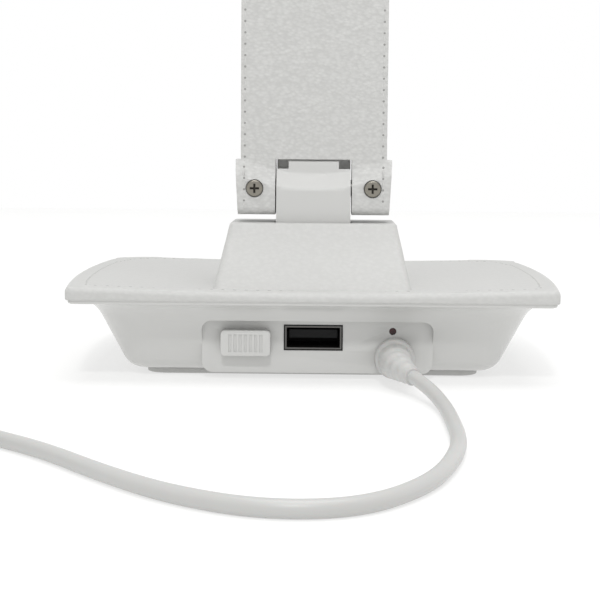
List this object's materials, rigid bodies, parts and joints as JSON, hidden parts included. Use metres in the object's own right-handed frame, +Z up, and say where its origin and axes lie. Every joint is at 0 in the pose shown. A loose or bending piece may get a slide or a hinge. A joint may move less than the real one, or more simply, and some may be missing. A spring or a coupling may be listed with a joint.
{
  "type": "table lamp",
  "caption": "Table lamp with a leather-covered base, a folding arm and a folding flat light head on friction hinges, with a USB outlet, a slide switch and a charging lead.",
  "frame": {"origin": "on the table under the middle of the base", "axes": "+Z up, +Y towards the back of the lamp where the ports are, +X to the left as seen from behind"},
  "size_m": [0.1964, 0.3036, 0.2362],
  "materials": {
    "white_leather": "fine pebbled grain, semi-matt",
    "white_gloss_abs": "moulded, glossy",
    "white_inner_abs": "moulded, plain",
    "soft_pad": "fine cell foam",
    "steel": "bright",
    "nickel": "nickel plated",
    "bush_plastic": "plain",
    "black_plastic": "plain",
    "board_laminate": "glass fibre laminate",
    "cell_foil": "pouch foil",
    "red_led": "clear red epoxy",
    "touch_gloss": "polished",
    "opal_acrylic": "opal",
    "board_aluminium": "white solder mask",
    "led_body": "phosphor",
    "white_pvc": "moulded, satin",
    "tie_fabric": "hook and loop"
  },
  "bodies": {
    "base": {"lower_housing": "white_gloss_abs", "anti_slip_pad": "soft_pad", "base_screws": "nickel", "ballast_plate": "steel", "battery_cell": "cell_foil", "main_board": "board_laminate", "board_components": "black_plastic", "board_screws": "nickel", "usb_socket_shell": "nickel", "usb_socket_tongue": "black_plastic", "slide_switch_body": "black_plastic", "indicator_led": "red_led", "dc_jack": "black_plastic", "top_plate": "white_inner_abs", "base_leather": "white_leather", "touch_panel": "touch_gloss", "touch_board": "board_laminate", "neck": "white_gloss_abs", "neck_screws": "nickel", "lower_friction_bush": "bush_plastic", "lower_friction_washers": "steel", "plug_barrel": "nickel", "plug_body": "white_pvc", "plug_relief": "white_pvc", "cord_run": "white_pvc", "cord_coil": "white_pvc", "coil_tie": "tie_fabric", "cord_tail": "white_pvc", "usb_plug_relief": "white_pvc", "usb_plug_body": "white_pvc", "usb_plug_shell": "nickel"},
    "slide_knob": {"slide_knob": "white_gloss_abs"},
    "arm": {"arm_frame": "white_gloss_abs", "arm_leather": "white_leather", "arm_front_cover": "white_gloss_abs", "arm_wire": "white_pvc", "lower_hinge_shaft": "steel", "hinge_screws": "nickel", "upper_friction_bush": "bush_plastic", "upper_friction_washers": "steel"},
    "head": {"head_housing": "white_gloss_abs", "head_leather": "white_leather", "head_hinge_screws": "nickel", "upper_hinge_shaft": "steel", "diffuser": "opal_acrylic", "led_board": "board_aluminium", "leds": "led_body", "reflector": "white_inner_abs"}
  },
  "joints": [
    {"name": "arm_hinge", "type": "hinge", "parent": "base", "child": "arm", "pos_m": [0, 0.022, 0.044], "axis": [1, 0, 0], "range_deg": [-15, 90]},
    {"name": "head_hinge", "type": "hinge", "parent": "arm", "child": "head", "pos_m": [0, 0.01575, 0.224], "axis": [1, 0, 0], "range_deg": [-90, 90]},
    {"name": "switch_slide", "type": "slide", "parent": "base", "child": "slide_knob", "axis": [1, 0, 0], "range_m": [0, 0.002]}
  ]
}
